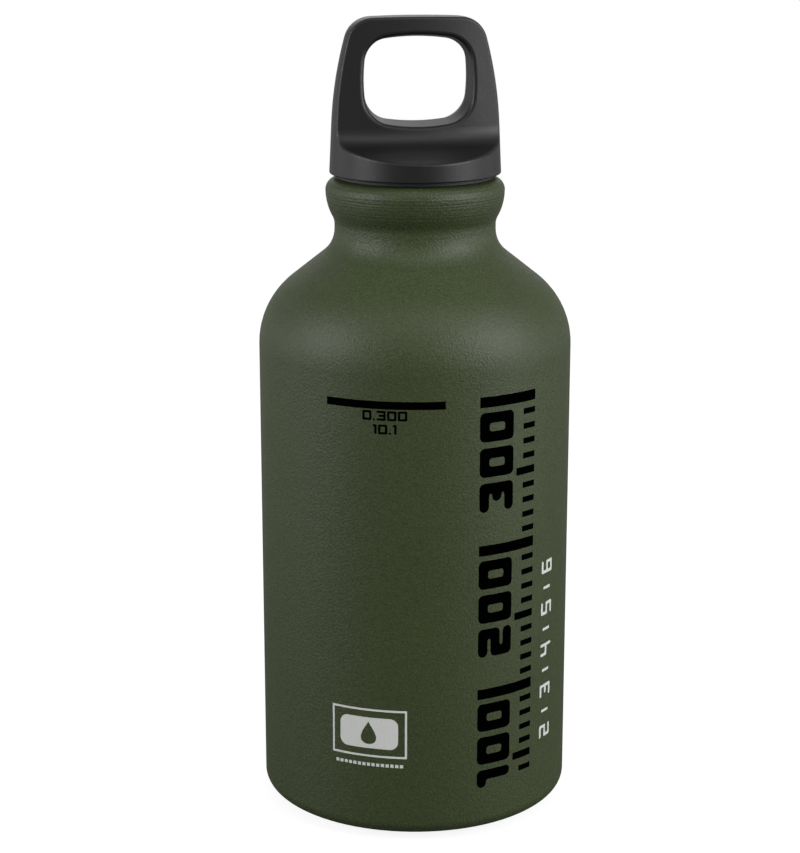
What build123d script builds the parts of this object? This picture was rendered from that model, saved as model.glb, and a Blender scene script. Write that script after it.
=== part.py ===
from build123d import *
import os
from math import acos, asin, ceil, cos, degrees, radians, sin, tan

# Camping fuel bottle: an impact-extruded aluminium shell with a threaded ring held in
# its neck bead, closed by a screw stopper that carries a loop. Millimetres, +Z up, the
# origin at the centre of the standing ring. The stopper's loop lies in the XZ plane.

# Bottle shell
body_r = 33.0
wall_t = 1.0
floor_t = 1.6
bevel_w = 4.98
stand_ring_w = 2.2
punt_h = 3.2
bevel_deg = 20.4
heel_r = 2.8
side_h = 95.9
shoulder_r = 17.6
shoulder_deg = 51.7
neck_sweep_r = 6.3
neck_r = 16.9
neck_land_h = 1.1
groove_r = 3.3
bead_arc_r = 11.3
bead_proud = 1.83
lip_r = 2.47
mouth_clearance = 0.7

# Screw thread of the neck ring and the stopper
ring_wall_t = 1.65
thread_depth = 1.1
thread_pitch = 3.5
ridge_root_w = 1.9
ridge_crest_w = 1.0
thread_gap = 0.25
thread_lead = 0.3
ring_gap = 0.05

# Mouth gasket
gasket_overhang = 0.1
gasket_t = 1.5
gasket_recess = 0.5
gasket_edge = 0.25
gasket_side_gap = 0.2
collar_gap = 0.3

# Stopper below the cap
stopper_reach = 14.8
stopper_wall = 1.9
stopper_top_t = 1.9
relief_h = 3.0
collar_foot_h = 0.9
flange_inset = 1.05
flange_t = 2.3
vent_w = 2.2
vent_depth = 1.5
tongue_w = 18.0
tongue_t = 4.6
tongue_h = 3.2
tongue_corner_r = 1.2
socket_gap = 0.1

# Cap with its loop
rim_inset = 0.83
rim_edge_r = 0.3
cap_h = 32.1
waist_inset = 0.48
waist_h = 10.1
loop_top_inset = 4.45
loop_corner_r = 5.5
loop_crown_h = 0.35
loop_foot_t = 12.4
loop_tip_t = 8.0
loop_bow_r = 70.0
loop_edge_r = 0.6
scoop_r = 4.4
scoop_slope_deg = 15.0
scoop_sweep_deg = 80.0
skirt_front_h = 3.8
leg_top_w = 2.7
bar_t = 4.1
eye_foot_h = 10.8
eye_top_w_share = 0.93
eye_foot_w_share = 0.93
eye_top_bulge_share = 0.065
eye_foot_bulge_share = 0.07
eye_top_corner_r = 5.0
eye_foot_corner_r = 5.2
eye_draft_deg = 8.0
eye_edge_r = 0.9

overrun = 1.0

# Radii of the standing ring and the neck, and where the shell's arcs meet
bevel_rise = bevel_w * tan(radians(bevel_deg))
stand_outer_r = body_r - heel_r * (1 - sin(radians(bevel_deg))) - bevel_w
stand_inner_r = stand_outer_r - stand_ring_w
bead_r = neck_r + bead_proud
thread_major_r = neck_r - wall_t - ring_gap - ring_wall_t
mouth_r = thread_major_r + mouth_clearance
heel_top_z = bevel_rise + heel_r * cos(radians(bevel_deg))
shoulder_z = heel_top_z + side_h
shoulder_end_r = body_r - shoulder_r * (1 - cos(radians(shoulder_deg)))
shoulder_end_z = shoulder_z + shoulder_r * sin(radians(shoulder_deg))
sweep_start_r = neck_r + neck_sweep_r * (1 - cos(radians(shoulder_deg)))
sweep_start_z = shoulder_end_z + (shoulder_end_r - sweep_start_r) / tan(radians(shoulder_deg))
neck_z = sweep_start_z + neck_sweep_r * sin(radians(shoulder_deg))
land_z = neck_z + neck_land_h
bead_deg = degrees(acos(1 - bead_proud / (bead_arc_r + groove_r)))
bead_z = land_z + (bead_arc_r + groove_r) * sin(radians(bead_deg))
crown_r = bead_r - lip_r
crown_z = bead_z + lip_r
dome_r = (stand_inner_r**2 + punt_h**2) / (2 * punt_h)
dome_deg = degrees(asin(stand_inner_r / dome_r))


def heel_and_shoulder(inset):
    """Draw the side from the bevel to the neck, moved into the wall by inset."""
    heel = CenterArc((body_r - heel_r, heel_top_z), heel_r - inset, bevel_deg - 90, 90 - bevel_deg)
    shoulder = CenterArc((body_r - shoulder_r, shoulder_z), shoulder_r - inset, 0, shoulder_deg)
    sweep_centre = (neck_r + neck_sweep_r, neck_z)
    sweep_arc = CenterArc(sweep_centre, neck_sweep_r + inset, 180 + shoulder_deg, -shoulder_deg)
    Line(heel @ 1, shoulder @ 0)
    Line(shoulder @ 1, sweep_arc @ 0)
    return heel @ 0, sweep_arc @ 1


def neck_bead(inset):
    """Draw the neck from its narrowest place over the bead to the crown."""
    groove = CenterArc((neck_r + groove_r, land_z), groove_r + inset, 180, -bead_deg)
    bead = CenterArc((bead_r - bead_arc_r, bead_z), bead_arc_r - inset, -bead_deg, bead_deg)
    lip = CenterArc((crown_r, bead_z), lip_r - inset, 0, 90)
    Line((neck_r - inset, neck_z), groove @ 0)
    return lip @ 1


with BuildPart() as bottle_shell:
    with BuildSketch(Plane.XZ):
        with BuildLine():
            bevel_end, _ = heel_and_shoulder(0)
            outer_crown = neck_bead(0)
            inner_heel, _ = heel_and_shoulder(wall_t)
            inner_crown = neck_bead(wall_t)
            Polyline(outer_crown, (mouth_r, crown_z), (mouth_r, crown_z - wall_t), inner_crown)
            punt = CenterArc((0, punt_h - dome_r), dome_r, 90 - dome_deg, dome_deg)
            floor = CenterArc((0, punt_h - dome_r), dome_r + floor_t, 90 - dome_deg, dome_deg)
            Polyline(punt @ 0, (stand_outer_r, 0), bevel_end)
            Line(floor @ 0, inner_heel)
            Line(punt @ 1, floor @ 1)
        make_face()
    revolve(axis=Axis.Z)
bottle_shell.part.label = "bottle_shell"

# One screw turns in the other: the neck ring is cut by a screw that the stopper's fits in


def screw(core_r, tip_r, foot_w, tip_w, start_z, end_z):
    """Right-hand screw with a ridge foot_w wide at core_r and tip_w wide at tip_r."""
    flank = []
    for share in (0, 0.5, 1):
        reach = tip_r + (core_r - tip_r) * share
        turned = 180 * (tip_w + (foot_w - tip_w) * share) / thread_pitch
        flank.append(Vector(reach, 0).rotate(Axis.Z, turned))
    with BuildSketch(Plane.XY.offset(start_z)) as section:
        with BuildLine():
            rising = ThreePointArc(*flank)
            falling = ThreePointArc(*[Vector(point.X, -point.Y) for point in flank])
            ThreePointArc(falling @ 0, (tip_r, 0), rising @ 0)
            ThreePointArc(rising @ 1, (-core_r, 0), falling @ 1)
        make_face()
    # Half turns joined end to end, each rising from the top face of the one before
    rise = thread_pitch / 2
    half_turns = []
    face = section.sketch.face()
    for step in range(ceil((end_z - start_z) / rise)):
        foot = (0, 0, start_z + step * rise)
        half_turns.append(Solid.extrude_linear_with_rotation(face, foot, (0, 0, rise), 180))
        face = half_turns[-1].faces().sort_by(Axis.Z)[-1]
    return half_turns[0].fuse(*half_turns[1:])


# The neck ring fills the bead from the narrowest place of the neck to the rolled lip
ring_inset = wall_t + ring_gap
ring_foot_z = neck_z
ring_top_z = crown_z - ring_inset
ring_crest_r = thread_major_r - thread_depth
ring_lead = thread_depth + thread_lead
ring_screw_z = ring_foot_z - thread_pitch
ring_screw = screw(
    ring_crest_r,
    thread_major_r,
    thread_pitch - ridge_crest_w,
    thread_pitch - ridge_root_w,
    ring_screw_z,
    ring_top_z + overrun,
)

with BuildPart() as neck_thread_ring:
    with BuildSketch(Plane.XZ):
        with BuildLine():
            ring_crown = neck_bead(ring_inset)
            Polyline(ring_crown, (0, ring_top_z), (0, ring_foot_z), (neck_r - ring_inset, ring_foot_z))
        make_face()
    revolve(axis=Axis.Z)
    add(ring_screw, mode=Mode.SUBTRACT)
    # Tapered way in at both ends of the thread
    for end_z, inward in ((ring_top_z, -1), (ring_foot_z, 1)):
        with BuildSketch(Plane.XZ):
            Polygon(
                (0, end_z),
                (ring_crest_r + ring_lead, end_z),
                (ring_crest_r, end_z + inward * ring_lead),
                (0, end_z + inward * ring_lead),
                align=None,
            )
        revolve(axis=Axis.Z, mode=Mode.SUBTRACT)
neck_thread_ring.part.label = "neck_thread_ring"

# The gasket lies on the crown, round the stopper's collar
gasket_r = crown_r + gasket_overhang
collar_r = ring_crest_r + thread_depth / 2
gasket_bore_r = collar_r + collar_gap
gasket_top_z = crown_z + gasket_t
rim_z = gasket_top_z - gasket_recess

with BuildPart() as mouth_gasket:
    with BuildSketch(Plane.XY.offset(crown_z)):
        Circle(gasket_r)
        Circle(gasket_bore_r, mode=Mode.SUBTRACT)
    extrude(amount=gasket_t)
    chamfer(mouth_gasket.edges().filter_by(GeomType.CIRCLE), gasket_edge)
mouth_gasket.part.label = "mouth_gasket"

# The stopper hangs in the mouth; its flange is welded into the cap above the gasket
stopper_crest_r = thread_major_r - thread_gap
stopper_root_r = stopper_crest_r - thread_depth
stopper_bore_r = stopper_root_r - stopper_wall
flange_r = gasket_r - flange_inset
stopper_foot_z = crown_z - stopper_reach
relief_top_z = crown_z - collar_foot_h
relief_foot_z = relief_top_z - relief_h
flange_top_z = gasket_top_z + flange_t
stopper_ceiling_z = flange_top_z - stopper_top_t
stem_foot_r = stopper_root_r - thread_lead
stem_lead = thread_depth + thread_lead + overrun
turns_below = ceil((ring_screw_z - stopper_foot_z) / thread_pitch) + 1
stopper_screw = screw(
    stopper_root_r,
    stopper_crest_r,
    ridge_root_w,
    ridge_crest_w,
    ring_screw_z - turns_below * thread_pitch,
    relief_foot_z + overrun,
)

with BuildPart() as threaded_stopper:
    # Threaded stem, tapered at both ends
    with BuildSketch(Plane.XZ):
        Polygon(
            (0, stopper_foot_z),
            (stem_foot_r, stopper_foot_z),
            (stem_foot_r + stem_lead, stopper_foot_z + stem_lead),
            (stem_foot_r + stem_lead, relief_foot_z - stem_lead),
            (stem_foot_r, relief_foot_z),
            (0, relief_foot_z),
            align=None,
        )
    revolve(axis=Axis.Z)
    add(stopper_screw, mode=Mode.INTERSECT)
    # Plain neck, collar and flange above the thread
    with BuildSketch(Plane.XZ):
        Polygon(
            (0, relief_foot_z),
            (stem_foot_r, relief_foot_z),
            (stem_foot_r, relief_top_z),
            (collar_r, relief_top_z),
            (collar_r, gasket_top_z),
            (flange_r, gasket_top_z),
            (flange_r, flange_top_z),
            (0, flange_top_z),
            align=None,
        )
    revolve(axis=Axis.Z)
    # Hollow, open at the foot
    with BuildSketch(Plane.XY.offset(stopper_foot_z)):
        Circle(stopper_bore_r)
    extrude(amount=stopper_ceiling_z - stopper_foot_z, mode=Mode.SUBTRACT)
    with BuildSketch(Plane.XY.offset(stopper_foot_z)):
        with Locations((0, -stopper_crest_r)):
            Rectangle(vent_w, 2 * vent_depth)
    extrude(amount=relief_foot_z - stopper_foot_z, mode=Mode.SUBTRACT)
    with BuildSketch(Plane.XY.offset(flange_top_z)):
        RectangleRounded(tongue_w, tongue_t, tongue_corner_r)
    extrude(amount=tongue_h)
threaded_stopper.part.label = "threaded_stopper"

# Radii and levels of the cap, and the width of its loop at the top
rim_r = bead_r - rim_inset
waist_r = rim_r - waist_inset
loop_top_w = 2 * (rim_r - loop_top_inset)
cap_top_z = rim_z + cap_h
waist_z = rim_z + waist_h
crease_z = rim_z + skirt_front_h
socket_r = flange_r + socket_gap
gasket_socket_r = gasket_r + gasket_side_gap
scoop_top_z = cap_top_z + overrun
bow_y = loop_bow_r - loop_foot_t / 2
crease_y = rim_r - (rim_r - waist_r) * skirt_front_h / waist_h

# Where the line of a scoop's slope meets the line of the loop's leaning face
slope = tan(radians(scoop_slope_deg))
lean = (loop_foot_t - loop_tip_t) / 2 / (cap_top_z - waist_z)
scoop_root_y = (loop_foot_t / 2 - (crease_z + crease_y * slope - waist_z) * lean) / (1 - slope * lean)
scoop_root_z = crease_z + (crease_y - scoop_root_y) * slope
scoop_tip_y = loop_tip_t / 2 - overrun * lean
scoop_out_y = crease_y + overrun
scoop_out_z = crease_z - overrun * slope

# Corners of the eye before they are rounded
eye_w = loop_top_w - 2 * leg_top_w
eye_h = cap_h - eye_foot_h - bar_t
eye_foot_z = rim_z + eye_foot_h
eye_top_z = eye_foot_z + eye_h
eye_foot_corner = Vector(eye_w / 2 * eye_foot_w_share, eye_foot_z + eye_h * eye_foot_bulge_share)
eye_top_corner = Vector(eye_w / 2 * eye_top_w_share, eye_top_z - eye_h * eye_top_bulge_share)
eye_foot_mirror = Vector(-eye_foot_corner.X, eye_foot_corner.Y)
eye_top_mirror = Vector(-eye_top_corner.X, eye_top_corner.Y)
eye_mid_z = (eye_foot_z + eye_top_z) / 2

with BuildPart() as cap_loop_shell:
    # Turned body, from the rim over the rounded corner to the crown of the loop
    with BuildSketch(Plane.YZ) as side_view:
        with BuildLine():
            rim = Vector(rim_r, rim_z)
            waist = Vector(waist_r, waist_z)
            corner = Vector(loop_top_w / 2, cap_top_z - loop_crown_h)
            Polyline((0, cap_top_z), (0, rim_z), rim, waist)
            TangentArc(waist, corner, tangent=waist - rim)
            TangentArc((0, cap_top_z), corner, tangent=(1, 0))
        make_face()
        fillet(side_view.vertices().sort_by_distance(corner)[0], loop_corner_r)
        fillet(side_view.vertices().sort_by_distance(rim)[0], rim_edge_r)
    revolve(axis=Axis.Z)
    # Front and back scoops, turned about an axis beyond the loop, leave its faces bowed
    for side in (-1, 1):
        start_deg = 90 * side - scoop_sweep_deg / 2
        bow_centre = Vector(0, -side * bow_y)
        radial = Vector(1, 0).rotate(Axis.Z, start_deg)
        with BuildSketch(Plane(bow_centre, radial, radial.rotate(Axis.Z, -90))):
            Polygon(
                (bow_y + scoop_out_y, scoop_out_z),
                (bow_y + scoop_out_y, scoop_top_z),
                (bow_y + scoop_tip_y, scoop_top_z),
                (bow_y + scoop_root_y, scoop_root_z),
                align=None,
            )
        revolve(axis=Axis(bow_centre, (0, 0, 1)), revolution_arc=scoop_sweep_deg, mode=Mode.SUBTRACT)
    fillet(cap_loop_shell.edges().sort_by_distance((0, 0, scoop_root_z))[:2], scoop_r)
    # The scoops' other edges; the lines across the loop where that rounding ends are smooth
    cut_edges = cap_loop_shell.edges().filter_by(lambda edge: abs(edge.center().Y) > loop_tip_t / 3)
    cut_edges = cut_edges.filter_by_position(Axis.Z, crease_z - overrun, cap_top_z)
    across = cut_edges.filter_by_position(Axis.X, -overrun, overrun)
    fillet(cut_edges - across.filter_by_position(Axis.Z, crease_z + overrun, waist_z), loop_edge_r)
    # Eye of the loop, widening from its middle to both faces
    with BuildSketch(Plane.XZ) as eye:
        with BuildLine():
            ThreePointArc(eye_foot_mirror, (0, eye_foot_z), eye_foot_corner)
            ThreePointArc(eye_foot_corner, (eye_w / 2, eye_mid_z), eye_top_corner)
            ThreePointArc(eye_top_corner, (0, eye_top_z), eye_top_mirror)
            ThreePointArc(eye_top_mirror, (-eye_w / 2, eye_mid_z), eye_foot_mirror)
        make_face()
        fillet(eye.vertices().group_by(Axis.Y)[0], eye_foot_corner_r)
        fillet(eye.vertices().group_by(Axis.Y)[-1], eye_top_corner_r)
    extrude(amount=loop_foot_t, both=True, taper=-eye_draft_deg, mode=Mode.SUBTRACT)
    eye_edges = cap_loop_shell.edges().filter_by(
        lambda edge: all(
            abs(corner.X) < eye_w / 2 + loop_foot_t * tan(radians(eye_draft_deg))
            and abs(corner.Y) > loop_tip_t / 4
            and eye_foot_z - overrun < corner.Z < eye_top_z + overrun
            for corner in edge.vertices()
        )
    )
    fillet(eye_edges, eye_edge_r)
    # Sockets for the gasket, the stopper's flange and its driving tongue
    with BuildSketch(Plane.XY.offset(rim_z)):
        Circle(gasket_socket_r)
    extrude(amount=gasket_recess, mode=Mode.SUBTRACT)
    with BuildSketch(Plane.XY.offset(gasket_top_z)):
        Circle(socket_r)
    extrude(amount=flange_t + socket_gap, mode=Mode.SUBTRACT)
    with BuildSketch(Plane.XY.offset(flange_top_z)):
        RectangleRounded(
            tongue_w + 2 * socket_gap, tongue_t + 2 * socket_gap, tongue_corner_r + socket_gap
        )
    extrude(amount=tongue_h + socket_gap, mode=Mode.SUBTRACT)
cap_loop_shell.part.label = "cap_loop_shell"

os.makedirs("parts", exist_ok=True)
for piece in (bottle_shell, neck_thread_ring, mouth_gasket, threaded_stopper, cap_loop_shell):
    export_step(piece.part, "parts/" + piece.part.label + ".step")
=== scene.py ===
import math

import bmesh
import bpy
from mathutils import Matrix, Vector, noise


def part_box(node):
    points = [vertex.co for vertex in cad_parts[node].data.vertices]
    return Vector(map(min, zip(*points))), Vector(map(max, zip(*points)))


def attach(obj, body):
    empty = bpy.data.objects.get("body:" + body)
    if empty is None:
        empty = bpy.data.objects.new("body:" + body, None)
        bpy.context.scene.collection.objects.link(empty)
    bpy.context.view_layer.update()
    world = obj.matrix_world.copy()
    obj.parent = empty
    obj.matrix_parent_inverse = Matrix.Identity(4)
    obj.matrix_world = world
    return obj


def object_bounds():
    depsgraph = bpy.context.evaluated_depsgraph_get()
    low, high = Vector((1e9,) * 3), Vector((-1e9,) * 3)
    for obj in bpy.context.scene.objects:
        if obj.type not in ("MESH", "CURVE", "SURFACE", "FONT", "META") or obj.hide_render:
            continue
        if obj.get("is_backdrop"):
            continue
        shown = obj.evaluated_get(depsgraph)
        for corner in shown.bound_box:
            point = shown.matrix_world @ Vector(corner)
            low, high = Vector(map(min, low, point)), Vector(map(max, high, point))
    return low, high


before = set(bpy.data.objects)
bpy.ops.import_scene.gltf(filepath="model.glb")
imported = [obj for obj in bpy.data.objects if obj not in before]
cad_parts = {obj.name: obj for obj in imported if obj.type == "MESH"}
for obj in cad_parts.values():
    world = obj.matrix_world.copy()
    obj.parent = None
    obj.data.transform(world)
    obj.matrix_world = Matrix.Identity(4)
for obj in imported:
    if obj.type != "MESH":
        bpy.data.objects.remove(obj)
CAD_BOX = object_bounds()

# Units: Blender's metres, with the sizes of the prints in millimetres
MM = 0.001
BODY_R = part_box("bottle_shell")[1][0]
# Length of one degree round the barrel
ARC_MM = math.radians(1.0) * BODY_R / MM

# Camera, fitted to the photograph's silhouette. Its view is turned from the loop's front
VIEW_TURN_DEG = -9.0
VIEW_DROP_DEG = 14.36
VIEW_DISTANCE = 458.0 * MM
VIEW_SIDE = 3.156 * MM
VIEW_HEIGHT = 81.64 * MM
LENS_MM = 90.06
SENSOR_MM = 36.0
CLIP_NEAR, CLIP_FAR = 10.0 * MM, 50.0


def make_camera():
    """Camera at the photograph's viewing angle."""
    camera = bpy.data.objects.new("camera", bpy.data.cameras.new("camera"))
    bpy.context.scene.collection.objects.link(camera)
    camera.data.sensor_width = SENSOR_MM
    camera.data.sensor_fit = "AUTO"
    camera.data.lens = LENS_MM
    camera.data.clip_start, camera.data.clip_end = CLIP_NEAR, CLIP_FAR
    drop = math.radians(VIEW_DROP_DEG)
    turn = math.radians(VIEW_TURN_DEG)
    back = VIEW_DISTANCE * math.cos(drop)
    place = Vector((-VIEW_SIDE, -back, VIEW_HEIGHT + VIEW_DISTANCE * math.sin(drop)))
    camera.location = Matrix.Rotation(turn, 3, "Z") @ place
    camera.rotation_euler = (math.pi / 2 - drop, 0, turn)
    bpy.context.scene.camera = camera


# Materials

# Distances between the lumps of the powder coat, which the inks on it take on
PEEL_MM = 0.45
GRAIN_MM = 0.26
# Heights between which the neck's bead shows turning marks; they fade in and out over the pairs
BEAD_LOW = (125.0 * MM, 128.0 * MM)
BEAD_HIGH = (134.0 * MM, 137.0 * MM)
# Pitch of the turning marks on the body, outside under the coat and inside
TURNING_MM = 0.55
# The shell's inside is where a face looks towards the axis, or upwards below INSIDE_FLOOR_TOP.
# The two looks are limits of the normal's part along the radius and along Z
TOWARDS_AXIS = -0.3
UPWARDS = 0.6
INSIDE_FLOOR_TOP = 12.0 * MM


class Shader:
    """Adds nodes to one material; a value is a number, a colour or another node's output."""

    def __init__(self, name):
        self.material = bpy.data.materials.new(name)
        self.material.use_nodes = True
        self.tree = self.material.node_tree
        self.bsdf = self.tree.nodes["Principled BSDF"]

    def feed(self, socket, value):
        """Link an output to a socket, or set the socket to a plain value."""
        if isinstance(value, bpy.types.NodeSocket):
            self.tree.links.new(value, socket)
        else:
            socket.default_value = value

    def finish(self, **values):
        """Set sockets of the Principled shader by name, with _ for a space."""
        for key, value in values.items():
            self.feed(self.bsdf.inputs[key.replace("_", " ")], value)
        return self.material

    def node(self, kind, inputs=None, **settings):
        """Add a node, with its settings and what feeds its inputs."""
        made = self.tree.nodes.new(kind)
        for key, value in settings.items():
            setattr(made, key, value)
        for key, value in (inputs or {}).items():
            self.feed(made.inputs[key], value)
        return made

    def math(self, operation, first, second=0.0):
        """Output of one calculation."""
        made = self.node("ShaderNodeMath", {0: first, 1: second}, operation=operation)
        return made.outputs[0]

    def spread(self, value, low, high):
        """Bring a 0..1 value to low..high."""
        return self.math("ADD", low, self.math("MULTIPLY", value, high - low))

    def ramp(self, value, low, high):
        """Bring a value from low..high to 0..1, smoothly."""
        inputs = {"Value": value, "From Min": low, "From Max": high}
        made = self.node("ShaderNodeMapRange", inputs, interpolation_type="SMOOTHSTEP")
        return made.outputs["Result"]

    def noise(self, place, grain_mm, detail=2.0, rough=0.5):
        """Noise whose lumps are about grain_mm apart."""
        inputs = {"Vector": place, "Scale": 1 / (grain_mm * MM), "Detail": detail, "Roughness": rough}
        return self.node("ShaderNodeTexNoise", inputs).outputs["Fac"]

    def mix(self, share, first, second):
        """Blend of two colours; the share is how much of the second."""
        inputs = {"Factor": share, "A": first, "B": second}
        made = self.node("ShaderNodeMix", data_type="RGBA")
        for key, value in inputs.items():
            self.feed(next(s for s in made.inputs if s.name == key and s.enabled), value)
        return next(s for s in made.outputs if s.enabled)

    def bump(self, height, strength, depth_mm):
        """Normal of a surface whose height of 0..1 stands for depth_mm."""
        inputs = {"Height": height, "Strength": strength, "Distance": depth_mm * MM}
        return self.node("ShaderNodeBump", inputs).outputs["Normal"]

    def place(self):
        """Point of the surface in the object's own metres."""
        return self.node("ShaderNodeTexCoord").outputs["Object"]

    def axes(self, vector):
        """The vector's X, Y and Z."""
        return self.node("ShaderNodeSeparateXYZ", {"Vector": vector}).outputs

    def rings(self, place, pitch_mm):
        """Noise that changes along the axis alone, as a lathe leaves it."""
        level = self.math("DIVIDE", self.axes(place)["Z"], pitch_mm * MM)
        along = self.node("ShaderNodeCombineXYZ", {"Z": level}).outputs[0]
        return self.node("ShaderNodeTexNoise", {"Vector": along, "Scale": 1.0}).outputs["Fac"]


def inside_of_shell(s, place):
    """1 on the walls and the floor that face the fuel, 0 on the coated outside of the shell."""
    normal = s.node("ShaderNodeNewGeometry").outputs["Normal"]
    spot = s.axes(place)
    flat = s.node("ShaderNodeCombineXYZ", {"X": spot["X"], "Y": spot["Y"]}).outputs[0]
    outward = s.node("ShaderNodeVectorMath", {0: flat}, operation="NORMALIZE").outputs[0]
    facing = s.node("ShaderNodeVectorMath", {0: normal, 1: outward}, operation="DOT_PRODUCT")
    wall = s.math("LESS_THAN", facing.outputs["Value"], TOWARDS_AXIS)
    low = s.math("LESS_THAN", spot["Z"], INSIDE_FLOOR_TOP)
    floor = s.math("MULTIPLY", s.math("GREATER_THAN", s.axes(normal)["Z"], UPWARDS), low)
    return s.math("MAXIMUM", wall, floor)


def coat_lumps(s, place):
    """Orange peel of the powder coat and the finer grain on it, each 0..1."""
    return s.noise(place, PEEL_MM, detail=1.5), s.noise(place, GRAIN_MM, detail=2.0, rough=0.6)


def powder_coat():
    """Dark olive powder coat with its orange peel outside, bare drawn aluminium inside."""
    dark, light = (0.0150, 0.0226, 0.0048, 1), (0.0318, 0.0455, 0.0126, 1)
    fleck = (0.060, 0.077, 0.037, 1)
    metal_dark, metal_light = (0.60, 0.60, 0.59, 1), (0.78, 0.78, 0.77, 1)
    s = Shader("green_powder_coat")
    place = s.place()
    inside = inside_of_shell(s, place)
    peel, grain = coat_lumps(s, place)
    cloud = s.math("SUBTRACT", s.noise(place, grain_mm=22.0, detail=3.0), 0.5)
    # Faint turning marks of the bead stay visible through the coat
    z = s.axes(place)["Z"]
    on_bead = s.math("MULTIPLY", s.ramp(z, *BEAD_LOW), s.ramp(z, *reversed(BEAD_HIGH)))
    turned = s.math("MULTIPLY", s.rings(place, TURNING_MM), on_bead)
    # The coat is lighter on its lumps, uneven in wide patches, and darker in the marks
    lumps = s.math("ADD", s.math("MULTIPLY", peel, 0.55), s.math("MULTIPLY", grain, 0.45))
    tone = s.math("ADD", s.ramp(lumps, 0.30, 0.70), s.math("MULTIPLY", cloud, 0.3))
    tone = s.math("ADD", tone, s.math("MULTIPLY", turned, -0.28))
    flecks = s.math("MULTIPLY", s.ramp(grain, 0.58, 0.78), 0.4)
    coat = s.mix(flecks, s.mix(tone, dark, light), fleck)
    metal = s.mix(s.rings(place, TURNING_MM), metal_dark, metal_light)
    height = s.math("ADD", peel, s.math("MULTIPLY", grain, 0.5))
    height = s.math("ADD", height, s.math("MULTIPLY", turned, 1.5))
    return s.finish(
        Base_Color=s.mix(inside, coat, metal),
        Metallic=inside,
        # The bare metal is smoother than the coat
        Roughness=s.math("ADD", s.spread(grain, 0.47, 0.57), s.math("MULTIPLY", inside, -0.12)),
        Normal=s.bump(height, strength=1.0, depth_mm=0.10),
        Specular_IOR_Level=0.38,
    )


def bare_aluminium():
    """Turned aluminium with its tool marks."""
    s = Shader("bare_aluminium")
    place = s.place()
    marks = s.rings(place, pitch_mm=0.33)
    return s.finish(
        Base_Color=s.mix(marks, (0.66, 0.66, 0.65, 1), (0.80, 0.80, 0.79, 1)),
        Metallic=1.0,
        Roughness=s.spread(s.noise(place, grain_mm=2.5), 0.26, 0.40),
        Normal=s.bump(marks, strength=0.15, depth_mm=0.02),
    )


def moulded_plastic():
    """Black moulded plastic with the fine texture of an eroded mould."""
    s = Shader("black_nylon")
    place = s.place()
    grain = s.noise(place, grain_mm=0.3, detail=2.0, rough=0.6)
    cloud = s.noise(place, grain_mm=16.0, detail=3.0)
    specks = s.math("MULTIPLY", s.ramp(grain, 0.4, 0.8), 0.4)
    share = s.math("ADD", specks, s.math("MULTIPLY", cloud, 0.3))
    return s.finish(
        Base_Color=s.mix(share, (0.0030, 0.0030, 0.0032, 1), (0.0065, 0.0065, 0.0067, 1)),
        Roughness=s.spread(grain, 0.40, 0.50),
        Normal=s.bump(grain, strength=0.5, depth_mm=0.05),
        Specular_IOR_Level=0.34,
    )


def rubber():
    """Black rubber with a dull bloom."""
    s = Shader("black_rubber")
    place = s.place()
    bloom = s.noise(place, grain_mm=2.8, detail=3.0)
    return s.finish(
        Base_Color=s.mix(bloom, (0.008, 0.008, 0.008, 1), (0.016, 0.016, 0.016, 1)),
        Roughness=s.spread(bloom, 0.55, 0.75),
        Normal=s.bump(s.noise(place, grain_mm=0.55), strength=0.2, depth_mm=0.03),
    )


def ink(name, colour, worn, rough, gloss):
    """Screen-print ink that takes on the peel of the coat below."""
    rough_spread = 0.08
    s = Shader(name)
    place = s.place()
    peel, grain = coat_lumps(s, place)
    return s.finish(
        Base_Color=s.mix(s.ramp(grain, 0.5, 0.85), colour, worn),
        Roughness=s.spread(grain, rough, rough + rough_spread),
        Normal=s.bump(peel, strength=0.6, depth_mm=0.06),
        Specular_IOR_Level=gloss,
    )


# Prints, drawn flat in millimetres round their own middle and then laid on the barrel


def filled(loops):
    """Flat mesh between closed loops of points; a loop inside another is a hole."""
    curve = bpy.data.curves.new("loops", "CURVE")
    curve.dimensions = "2D"
    curve.fill_mode = "BOTH"
    for points in loops:
        spline = curve.splines.new("POLY")
        spline.points.add(len(points) - 1)
        for point, (x, y) in zip(spline.points, points):
            point.co = (x, y, 0, 1)
        spline.use_cyclic_u = True
    return mesh_of(curve)


def mesh_of(curve):
    """The curve as a mesh; no object of it stays in the scene."""
    holder = bpy.data.objects.new("holder", curve)
    bpy.context.scene.collection.objects.link(holder)
    bpy.context.view_layer.update()
    graph = bpy.context.evaluated_depsgraph_get()
    mesh = bpy.data.meshes.new_from_object(holder.evaluated_get(graph))
    bpy.data.objects.remove(holder)
    return mesh


def box(width, height, x=0.0, y=0.0):
    """Corners of a rectangle with its middle at x, y."""
    left, right, low, high = x - width / 2, x + width / 2, y - height / 2, y + height / 2
    return [(left, low), (right, low), (right, high), (left, high)]


def rounded_box(width, height, radius, steps=8):
    """Outline of a rectangle round the origin, each corner an arc of so many steps."""
    points = []
    for corner in range(4):
        middle_x = (width / 2 - radius) * (1 if corner in (0, 3) else -1)
        middle_y = (height / 2 - radius) * (1 if corner in (0, 1) else -1)
        for step in range(steps + 1):
            angle = math.pi / 2 * (corner + step / steps)
            points.append((middle_x + radius * math.cos(angle), middle_y + radius * math.sin(angle)))
    return points


def drop_outline(width, height, steps=56):
    """Falling drop with its tip up."""
    swell, taper = 0.66 * width, 1.5
    points = []
    for step in range(steps):
        turn = 2 * math.pi * step / steps
        across = swell * math.sin(turn) * math.sin(turn / 2) ** taper
        points.append((across, height / 2 * math.cos(turn)))
    return points


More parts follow.
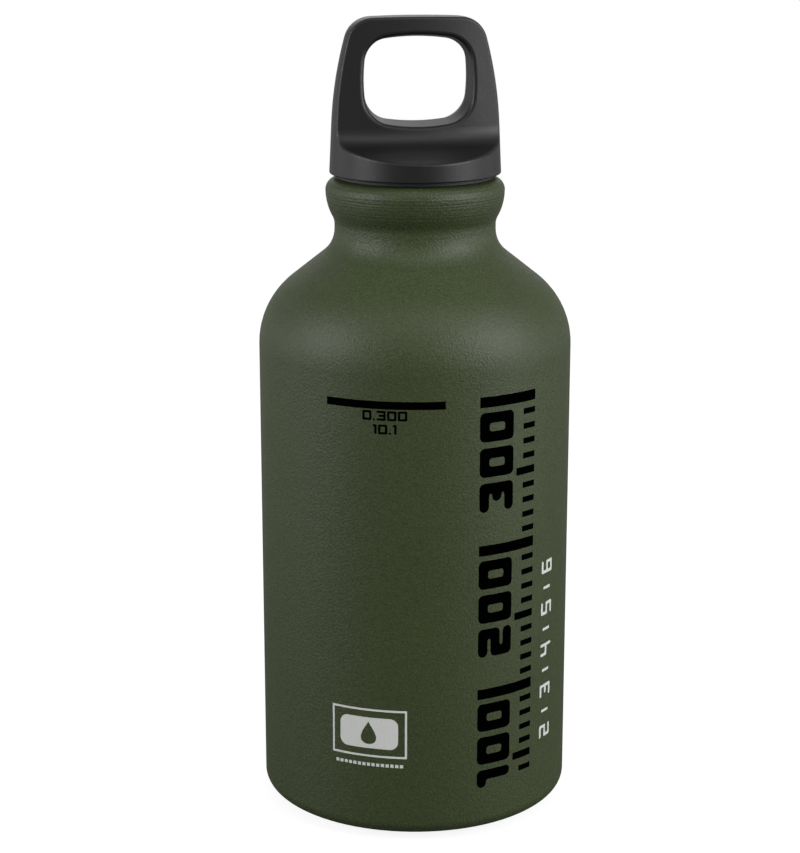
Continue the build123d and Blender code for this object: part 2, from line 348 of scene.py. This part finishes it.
# Rows of each digit from the top, on a grid of strokes and the gaps between them
DIGITS = {
    "0": "111 101 101 101 111",
    "1": "11 01 01 01 01",
    "2": "111 001 111 100 111",
    "3": "111 001 011 001 111",
    "4": "101 101 111 001 001",
    "5": "111 100 111 001 111",
    "6": "111 100 111 101 111",
    ".": "0 0 0 0 1",
}
# In heights of a digit: its width and the space to the next. In strokes: the flag of the 1
DIGIT_WIDTH = 0.66
DIGIT_SPACE = 0.16
FLAG_WIDTH = 0.8


def outlines(rows, columns, levels):
    """Closed loops round the filled cells of a grid, with its lines at columns and levels."""
    cells = {(c, r) for r, row in enumerate(rows) for c, cell in enumerate(row) if cell == "1"}
    # Each side of a cell that no other filled cell shares, from its start to its end
    ways = {}
    for c, r in cells:
        corners = [(c, r + 1), (c + 1, r + 1), (c + 1, r), (c, r)]
        neighbours = [(c, r + 1), (c + 1, r), (c, r - 1), (c - 1, r)]
        for start, end, neighbour in zip(corners, corners[1:] + corners[:1], neighbours):
            if neighbour not in cells:
                ways[start] = end
    while ways:
        here = next(iter(ways))
        loop = []
        while here in ways:
            loop.append(here)
            here = ways.pop(here)
        yield [(columns[c], levels[r]) for c, r in loop]


def softened(loop, radius):
    """The loop without the points inside its straight runs, and with round corners."""
    arc_steps = 4
    points = [Vector(point) for point in loop]
    soft = []
    for before, here, after in zip(points[-1:] + points[:-1], points, points[1:] + points[:1]):
        back, on = (before - here).normalized(), (after - here).normalized()
        is_corner = abs(back.dot(on)) < 0.5
        if is_corner:
            points_outwards = back.cross(on) < 0
            reach = radius if points_outwards else radius / 2
            for step in range(arc_steps + 1):
                angle = math.pi / 2 * step / arc_steps
                soft.append(here + reach * ((1 - math.sin(angle)) * back + (1 - math.cos(angle)) * on))
    return [tuple(point) for point in soft]


def digits(text, height, stroke, stretch=1.0, turned=False):
    """Flat mesh of plain digits round its middle; turned digits read upwards."""
    thick = stroke * height
    inner_h = (height - 3 * thick) / 2
    inner_w = DIGIT_WIDTH * height * stretch - 2 * thick
    space = DIGIT_SPACE * height
    falls = (0, thick, thick + inner_h, 2 * thick + inner_h, height - thick, height)
    levels = [height / 2 - fall for fall in falls]
    column_widths = {1: [thick], 2: [FLAG_WIDTH * thick, thick], 3: [thick, inner_w, thick]}
    loops, x = [], 0.0
    for digit in text:
        rows = DIGITS[digit].split()
        widths = column_widths[len(rows[0])]
        columns = [x + sum(widths[:count]) for count in range(len(widths) + 1)]
        loops += [softened(loop, thick / 2) for loop in outlines(rows, columns, levels)]
        x = columns[-1] + space
    middle = (x - space) / 2
    if turned:
        return filled([[(-py, px - middle) for px, py in loop] for loop in loops])
    return filled([[(px - middle, py) for px, py in loop] for loop in loops])


def moved(mesh, x, y):
    """The same mesh, shifted in its plane."""
    for v in mesh.vertices:
        v.co.x += x
        v.co.y += y
    return mesh


# How a print lies on the barrel: its facets across, and its height above the coat
FACET_MM = 0.6
PRINT_LIFT = 0.02 * MM
# How its outline frays: depth, turns of the noise in a millimetre, the shortest edge that is halved
# for it, the length below which an edge is dropped, and what sets the up-and-down noise apart
FRAY_MM = 0.04
FRAY_SCALE = 2.3
FRAY_EDGE_MM = 0.3
NO_EDGE_MM = 0.002
FRAY_SHIFT = 7.0


def in_facets(flats):
    """Flat meshes as one, cut across into facets narrow enough to bend round the barrel."""
    bm = bmesh.new()
    for flat in flats:
        bm.from_mesh(flat)
    low = min(v.co.x for v in bm.verts)
    width = max(v.co.x for v in bm.verts) - low
    steps = int(width / FACET_MM) + 1
    for step in range(1, steps):
        geom = bm.verts[:] + bm.edges[:] + bm.faces[:]
        cut = (low + step * width / steps, 0, 0)
        bmesh.ops.bisect_plane(bm, geom=geom, plane_co=cut, plane_no=(1, 0, 0))
    return bm


def rim(bm):
    """Edges of the outline."""
    return [e for e in bm.edges if len(e.link_faces) == 1]


def fray(bm, seed):
    """Make the outline uneven, as on a rough coat, and leave triangles that face up."""
    long_edges = [e for e in rim(bm) if e.calc_length() > FRAY_EDGE_MM]
    bmesh.ops.subdivide_edges(bm, edges=long_edges, cuts=1)
    for v in {v for e in rim(bm) for v in e.verts}:
        at = v.co * FRAY_SCALE
        v.co.x += FRAY_MM * noise.noise((at.x, at.y, seed))
        v.co.y += FRAY_MM * noise.noise((at.y, at.x, seed + FRAY_SHIFT))
    bmesh.ops.triangulate(bm, faces=bm.faces[:])
    bmesh.ops.dissolve_degenerate(bm, dist=NO_EDGE_MM, edges=bm.edges[:])
    for face in bm.faces:
        face.normal_update()
        if face.normal.z < 0:
            face.normal_flip()


def wrapped(name, flats, material, seen_deg, centre_z):
    """Lay flat meshes on the barrel as one thin print, at an angle from the camera's direction."""
    bm = in_facets(flats)
    fray(bm, centre_z)
    turn = math.radians(seen_deg + VIEW_TURN_DEG)
    radius = BODY_R + PRINT_LIFT
    for v in bm.verts:
        angle = turn + v.co.x * MM / BODY_R
        v.co = (radius * math.sin(angle), -radius * math.cos(angle), (centre_z + v.co.y) * MM)
    mesh = bpy.data.meshes.new(name)
    bm.to_mesh(mesh)
    bm.free()
    mesh.materials.append(material)
    piece = bpy.data.objects.new(name, mesh)
    bpy.context.scene.collection.objects.link(piece)
    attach(piece, "bottle")


# Levels of the graduations in millimetres: the barrel holds 1 ml in each ML_RISE of its height
FILL_ML = 300
FILL_Z = 94.25
ML_RISE = 0.3108
OUNCE_ML = 29.57


def level(ml):
    """Height of the fuel's surface at this amount."""
    return FILL_Z - (FILL_ML - ml) * ML_RISE


def fill_mark(black):
    """Bar at the highest filling, with its amount in two units as plain numbers."""
    bar_deg, bar_h = 43.0, 1.6
    number_h, stroke, stretch, half_line = 2.0, 0.22, 1.4, 1.4
    bar = filled([box(bar_deg * ARC_MM, bar_h)])
    wrapped("print_fill_bar", [bar], black, seen_deg=-11.1, centre_z=FILL_Z)
    litres = moved(digits("0.300", number_h, stroke, stretch), 0, half_line)
    ounces = moved(digits("10.1", number_h, stroke, stretch), 0, -half_line)
    wrapped("print_fill_numbers", [litres, ounces], black, seen_deg=-10.9, centre_z=90.7)


def sign(grey):
    """Framed plate with a drop, in the place of the maker's sign, and a row of dashes below."""
    seen_deg, centre_z, dashes_z = -17.1, 24.3, 17.3
    frame_w, frame_h, line = 16.3, 10.6, 0.45
    dash, dash_pitch, dash_count = 0.7, 1.0, 15
    outline = [box(frame_w, frame_h), box(frame_w - 2 * line, frame_h - 2 * line)]
    plate = [rounded_box(width=12.6, height=6.8, radius=1.7), drop_outline(width=3.6, height=5.0)]
    row = [(step - (dash_count - 1) / 2) * dash_pitch for step in range(dash_count)]
    wrapped("print_frame", [filled(outline)], grey, seen_deg, centre_z)
    wrapped("print_drop_plate", [filled(plate)], grey, seen_deg, centre_z)
    wrapped("print_dashes", [filled([box(dash, dash, x)]) for x in row], grey, seen_deg, dashes_z)


def black_scale(black):
    """Graduations in millilitres, with large numbers that read upwards."""
    width, first_ml, step_ml, number_ml = 14.1, 40, 10, 100
    number_h, stroke, stretch, gap = 8.0, 0.27, 1.15, 2.2
    # The amount that a graduation is a multiple of, with the length and the thickness of its line
    lines = ((number_ml, width, 2.2), (50, 5.2, 1.6), (step_ml, 3.4, 1.2))
    flats = []
    for ml in range(first_ml, FILL_ML + 1, step_ml):
        long, thick = next((long, thick) for multiple, long, thick in lines if ml % multiple == 0)
        flats.append(filled([box(long, thick, (width - long) / 2, level(ml))]))
    for ml in range(number_ml, FILL_ML + 1, number_ml):
        number = digits(str(ml), number_h, stroke, stretch, turned=True)
        half = max(v.co.y for v in number.vertices)
        flats.append(moved(number, (number_h - width) / 2, level(ml) - gap - half))
    wrapped("print_scale", flats, black, seen_deg=35.2, centre_z=0.0)


def grey_scale(grey):
    """Smaller graduations in fluid ounces beside the black ones."""
    first, last, number_h, stroke = 2, 6, 4.2, 0.16
    line_w, line_h = 2.6, 0.6
    flats = []
    for ounces in range(first, last + 1):
        number = digits(str(ounces), number_h, stroke, turned=True)
        flats.append(moved(number, 0, level(ounces * OUNCE_ML)))
        if ounces > first:
            flats.append(filled([box(line_w, line_h, 0, level((ounces - 0.5) * OUNCE_ML))]))
    wrapped("print_small_scale", flats, grey, seen_deg=56.8, centre_z=0.0)


def prints():
    """All prints of the barrel, in its two inks."""
    soot, worn_soot = (0.0002, 0.0003, 0.0002, 1), (0.0007, 0.0009, 0.0007, 1)
    pale, worn_pale = (0.47, 0.475, 0.46, 1), (0.38, 0.385, 0.37, 1)
    black = ink("black_ink", soot, worn_soot, rough=0.88, gloss=0.0)
    grey = ink("grey_ink", pale, worn_pale, rough=0.5, gloss=0.3)
    fill_mark(black)
    sign(grey)
    black_scale(black)
    grey_scale(grey)


# Studio

# Lamps: name, azimuth from the camera's direction to the right, elevation, distance, size, watts
LAMPS = (
    ("light_left", -67, 22, 0.90, (0.45, 0.36), 5.3),
    ("light_left_low", -74, -2, 0.90, (0.45, 0.30), 1.6),
    ("light_right", 60, 22, 0.90, (0.45, 0.36), 6.6),
    ("light_right_low", 76, -2, 0.90, (0.45, 0.30), 1.9),
    ("light_right_high", 60, 46, 0.90, (0.45, 0.36), 1.3),
    ("light_front", 0, 60, 1.05, (0.70, 0.45), 2.4),
    ("light_back", 180, 22, 1.10, (0.70, 0.45), 1.2),
    ("light_back_left", -112, -4, 1.00, (0.45, 0.40), 1.0),
    ("light_back_right", 112, -4, 1.00, (0.45, 0.40), 0.8),
)
# Height that the lamps look at
AIM_Z = 90.0 * MM
WHITE = (1, 1, 1, 1)
# Strength of the world as a light, and the share of white that the object mirrors from behind it
WORLD_LEVEL = 0.36
MIRRORED_SHARE = 0.2
# Where behind begins and is full: for the world in a ray's Y, on the floor in metres
WORLD_BEHIND = (0.55, 0.95)
FLOOR_BEHIND = (0.08, 0.5)
FLOOR_HALF = 0.7
FLOOR_DROP = 0.02 * MM
FLOOR_GREY = (0.14, 0.14, 0.14, 1)
FLOOR_GLOW = 0.88


def soft_box(name, azimuth, elevation, distance, size, power):
    """Lamp that looks at the body, its angles in degrees."""
    light = bpy.data.lights.new(name, "AREA")
    light.shape = "RECTANGLE"
    light.size, light.size_y = size
    light.energy = power
    lamp = bpy.data.objects.new(name, light)
    turn, lift = math.radians(azimuth + VIEW_TURN_DEG), math.radians(elevation)
    away = Vector((math.cos(lift) * math.sin(turn), -math.cos(lift) * math.cos(turn), math.sin(lift)))
    lamp.location = Vector((0, 0, AIM_Z)) + away * distance
    lamp.rotation_euler = away.to_track_quat("Z", "Y").to_euler()
    bpy.context.scene.collection.objects.link(lamp)


class Nodes(Shader):
    """The same helper on the world's node tree."""

    def __init__(self, tree):
        self.tree = tree


def white_rays(s, behind):
    """How much of the white a ray meets: all for the camera's, a share behind for mirrored ones."""
    path = s.node("ShaderNodeLightPath").outputs
    mirrored = s.math("MAXIMUM", path["Is Glossy Ray"], path["Is Transmission Ray"])
    share = s.math("MULTIPLY", behind, MIRRORED_SHARE)
    return s.math("MAXIMUM", path["Is Camera Ray"], s.math("MULTIPLY", mirrored, share))


def backdrop():
    """White world for the camera, dimmer as a light on the object."""
    world = bpy.data.worlds.new("studio")
    bpy.context.scene.world = world
    world.use_nodes = True
    s = Nodes(world.node_tree)
    sky = s.tree.nodes["Background"]
    sky.inputs["Color"].default_value = WHITE
    direction = s.node("ShaderNodeTexCoord").outputs["Generated"]
    behind = s.ramp(s.axes(direction)["Y"], *WORLD_BEHIND)
    s.feed(sky.inputs["Strength"], s.spread(white_rays(s, behind), WORLD_LEVEL, 1.0))


def floor():
    """Pale floor that keeps the object's shadow; past its edge the white backdrop goes on."""
    bm = bmesh.new()
    bmesh.ops.create_grid(bm, x_segments=2, y_segments=2, size=FLOOR_HALF)
    mesh = bpy.data.meshes.new("floor")
    bm.to_mesh(mesh)
    bm.free()
    plane = bpy.data.objects.new("floor", mesh)
    bpy.context.scene.collection.objects.link(plane)
    plane.location.z = -FLOOR_DROP
    s = Shader("floor_white")
    behind = s.ramp(s.axes(s.place())["Y"], *FLOOR_BEHIND)
    glow = s.math("MULTIPLY", white_rays(s, behind), FLOOR_GLOW)
    s.finish(Base_Color=FLOOR_GREY, Roughness=0.9, Emission_Color=WHITE, Emission_Strength=glow)
    mesh.materials.append(s.material)
    plane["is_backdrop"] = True


def studio():
    """Lamps, backdrop and floor."""
    for lamp in LAMPS:
        soft_box(*lamp)
    backdrop()
    floor()
    bpy.context.scene.view_settings.view_transform = "Standard"


def dress(node, material):
    """Give a CAD node its finish."""
    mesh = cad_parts[node].data
    mesh.materials.clear()
    mesh.materials.append(material)


make_camera()
plastic = moulded_plastic()
dress("bottle_shell", powder_coat())
dress("neck_thread_ring", bare_aluminium())
dress("mouth_gasket", rubber())
dress("threaded_stopper", plastic)
dress("cap_loop_shell", plastic)
prints()
studio()

boxes = {"cad": CAD_BOX, "model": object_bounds()}
{key: [[float(v) for v in corner] for corner in ends] for key, ends in boxes.items()}
